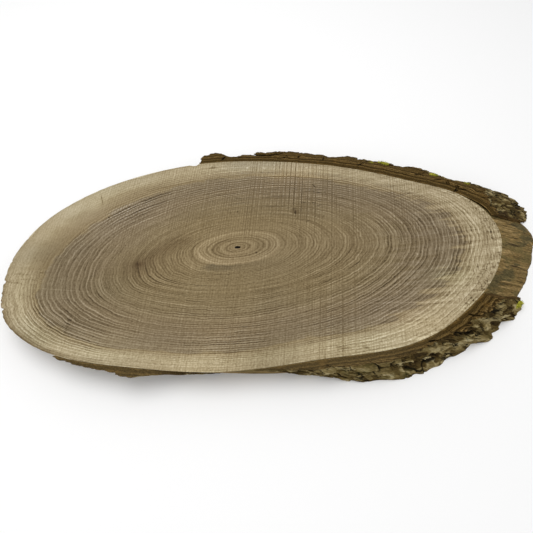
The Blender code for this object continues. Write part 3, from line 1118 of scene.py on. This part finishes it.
def bare_rim():
    """The log's outside where the bark is gone: brown, streaked along the grain, stained in places."""
    rim = Finish("bare_rim", 0.85, 0.1)
    streaks = rim.noise(rim.grain(300, 16), detail=5, rough=0.72)
    colour = rim.ramp(streaks, [
        (0.35, shade(64, 50, 25)), (0.44, shade(105, 86, 49)), (0.53, shade(126, 104, 63)),
        (0.64, shade(156, 132, 88)),
    ])
    broad = rim.noise(rim.grain(60, 16), detail=4, rough=0.6)
    colour = rim.blend(colour, shade(98, 86, 50), rim.span(broad, 0.50, 0.57, 0, 0.75))
    ragged = rim.centred(rim.noise(rim.grain(170, 34), detail=5, rough=0.7))
    stain = rim.plus(rim.kept("stain"), ragged, 2.6)
    colour = rim.blend(colour, shade(78, 70, 43), rim.span(stain, 0.46, 0.62, 0, 0.85))
    small_stains = rim.noise(rim.grain(85, 34), detail=4, rough=0.6)
    colour = rim.blend(colour, shade(80, 70, 42), rim.span(small_stains, 0.61, 0.65, 0, 0.8))
    crack = rim.span(rim.noise(rim.grain(190, 10), detail=3), 0.34, 0.39, 0.8, 0)
    colour = rim.blend(colour, shade(44, 33, 16), crack)
    speck = rim.span(rim.noise(rim.grain(600, 160), detail=3, rough=0.7), 0.3, 0.7, 0.52, 1.48)
    colour = rim.blend(colour, rim.grey(speck), 1.0, "MULTIPLY")
    return rim.finish(colour, streaks, 0.0008)


def on_top(degrees_round, out):
    """Where a place on the bark's upper side is, from its angle and its depth; all in millimetres."""
    angle = radians(degrees_round)
    return in_slab(angle, wood_radius(angle) + out * MM, THICKNESS).xy / MM


def sawn_bark():
    """Bark as the saw left it: thin layers that follow the rim, brown and dull, with painted shade in its
    splits.
    """
    bark = Finish("sawn_bark", 0.95, 0.06)
    depth = bark.kept("depth")
    sway = bark.noise(bark.grain(75, 40), detail=4, rough=0.65)
    layers = bark.streaks(bark.plus(depth, sway, 6.0), 0.5, 3.0, 0.7)
    colour = bark.ramp(layers, [
        (0.37, shade(26, 17, 4)), (0.455, shade(60, 45, 18)), (0.535, shade(85, 67, 34)),
        (0.62, shade(127, 103, 61)),
    ])
    blotch = bark.noise(bark.place(), 85, 4, 0.65)
    colour = bark.blend(colour, shade(64, 52, 27), bark.span(blotch, 0.48, 0.62, 0, 0.3))
    patch = bark.noise(bark.place(), 40, 3, 0.6)
    colour = bark.blend(colour, shade(112, 84, 40), bark.span(patch, 0.58, 0.70, 0, 0.35))
    near_side = bark.times(
        bark.span(bark.dot(bark.place(), (0, 1, 0)), -0.04, -0.10, 0, 0.28),
        bark.span(bark.dot(bark.place(), (1, 0, 0)), 0.17, 0.08),
    )
    colour = bark.blend(colour, shade(104, 90, 62), near_side)
    speck = bark.span(bark.noise(bark.place(), 480, 3, 0.7), 0.28, 0.72, 0.5, 1.5)
    colour = bark.blend(colour, bark.grey(speck), 1.0, "MULTIPLY")
    # The splits are painted near black: painted shade in their grooves.
    for start, inner, end, outer, half_width, _ in SPLITS:
        split_shade = bark.mark(on_top(start, inner), on_top(end, outer), 2.1 * half_width, THICKNESS / MM)
        colour = bark.blend(colour, shade(9, 6, 2), bark.times(split_shade, 0.95))
    return bark.finish(colour, layers, 0.0012)


def rough_bark():
    """The bark's outside: brown, grey and tan, with painted light on the raised flakes, painted shade in
    the low places, and near-black painted shade under the flakes' lips and in the cracks.
    """
    bark = Finish("rough_bark", 0.95, 0.06)
    # The stored height picks the colour: painted shade low down, painted light on raised flakes.
    high = bark.kept("high")
    patch = bark.noise(bark.grain(120, 34), detail=4, rough=0.65)
    tone = bark.plus(high, bark.centred(patch), 0.9)
    colour = bark.ramp(tone, [
        (0.0, shade(46, 34, 15)), (0.26, shade(86, 71, 38)), (0.44, shade(117, 102, 64)),
        (0.62, shade(146, 131, 92)), (0.80, shade(176, 163, 124)), (1.0, shade(196, 185, 149)),
    ])
    # Painted shade, near black, under the flakes' lips and in the cracks.
    colour = bark.blend(colour, shade(13, 9, 3), bark.span(bark.kept("edge"), 0.30, 0.80, 0, 0.95))
    crossing = bark.maths("ABSOLUTE", bark.centred(bark.noise(bark.grain(95, 17), detail=4, rough=0.55)))
    vein = bark.times(
        bark.span(crossing, 0.010, 0.026, 1, 0), bark.span(bark.noise(bark.place(), 45, 2), 0.44, 0.56)
    )
    colour = bark.blend(colour, shade(10, 7, 2), bark.times(vein, 0.92))
    speck = bark.noise(bark.grain(520, 170), detail=3, rough=0.7)
    colour = bark.blend(colour, bark.grey(bark.span(speck, 0.28, 0.72, 0.6, 1.4)), 1.0, "MULTIPLY")
    green = bark.noise(bark.place(), 32, 3, 0.6)
    colour = bark.blend(colour, shade(100, 98, 58), bark.span(green, 0.58, 0.72, 0, 0.3))
    return bark.finish(colour, bark.plus(speck, vein, -0.8), 0.0012)


def inner_bark():
    """The side of the bark that faced the wood, and where it broke off: dark and stringy."""
    bark = Finish("inner_bark", 0.95, 0.06)
    strings = bark.noise(bark.grain(300, 14), detail=4, rough=0.65)
    colour = bark.ramp(strings, [
        (0.30, shade(40, 29, 13)), (0.50, shade(74, 57, 30)), (0.70, shade(112, 88, 50)),
    ])
    return bark.finish(colour, strings, 0.0012)


def moss_green():
    """Dry yellow-green moss."""
    moss = Finish("moss", 0.8)
    patch = moss.noise(moss.place(), 240, 2)
    colour = moss.ramp(patch, [
        (0.30, shade(92, 92, 28)), (0.50, shade(166, 164, 50)), (0.70, shade(204, 200, 82)),
    ])
    return moss.finish(colour)


# The studio

FLOOR_SIZE = 12
FLOOR_DROP = 0.4 * MM
LAMP_PLACE = Vector((-0.35, 0.25, 1.5))
LAMP_AIM = Vector((-0.02, 0, 0))
CAMERA_PLACE = Vector((-0.0954, -0.3271, 0.568))
CAMERA_AIM = Vector((-0.0528, -0.0241, 0.038))
LENS = 29.85
SENSOR = 36


def aimed(place, aim):
    """The turn of a lamp or a camera that stands at one place and looks at another."""
    return (aim - place).to_track_quat("-Z", "Y").to_euler()


def make_floor():
    """A pale floor just under the slab."""
    bpy.ops.object.select_all(action="DESELECT")
    bpy.ops.mesh.primitive_plane_add(size=FLOOR_SIZE, location=(0, 0, -FLOOR_DROP))
    floor = bpy.context.object
    floor.name = "floor"
    pale = Finish("pale_floor", 0.95)
    pale.finish((0.92, 0.92, 0.92, 1))
    floor.data.materials.append(pale.material)


def make_light():
    """An even pale sky, and one wide soft lamp overhead."""
    world = bpy.data.worlds.new("soft_sky")
    bpy.context.scene.world = world
    world.use_nodes = True
    sky = world.node_tree.nodes["Background"]
    sky.inputs["Color"].default_value = (1.0, 1.0, 1.0, 1)
    sky.inputs["Strength"].default_value = 0.75
    bpy.ops.object.light_add(type="AREA", location=LAMP_PLACE)
    lamp = bpy.context.object
    lamp.name = "soft_lamp"
    lamp.data.shape = "DISK"
    lamp.data.size = 1.3
    lamp.data.energy = 11
    lamp.rotation_euler = aimed(LAMP_PLACE, LAMP_AIM)


def make_camera():
    """The photograph's view: from the near side, sixty degrees above the slab."""
    bpy.ops.object.camera_add(location=CAMERA_PLACE)
    camera = bpy.context.object
    camera.data.sensor_width = SENSOR
    camera.data.lens = LENS
    camera.data.clip_start = 0.01
    camera.rotation_euler = aimed(CAMERA_PLACE, CAMERA_AIM)
    bpy.context.scene.camera = camera


def main():
    wood = make_wood()
    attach(wood, "root")
    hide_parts("wood_slab")
    finishes = [sawn_bark(), rough_bark(), inner_bark()]
    for name, strip in BARK_STRIPS.items():
        bark = make_bark(name, **strip)
        for finish in finishes:
            bark.data.materials.append(finish)
        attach(bark, "root")
        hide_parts(name)
    moss = make_moss()
    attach(moss, "root")
    make_floor()
    make_light()
    make_camera()
    bpy.context.scene.view_settings.view_transform = "Standard"


main()
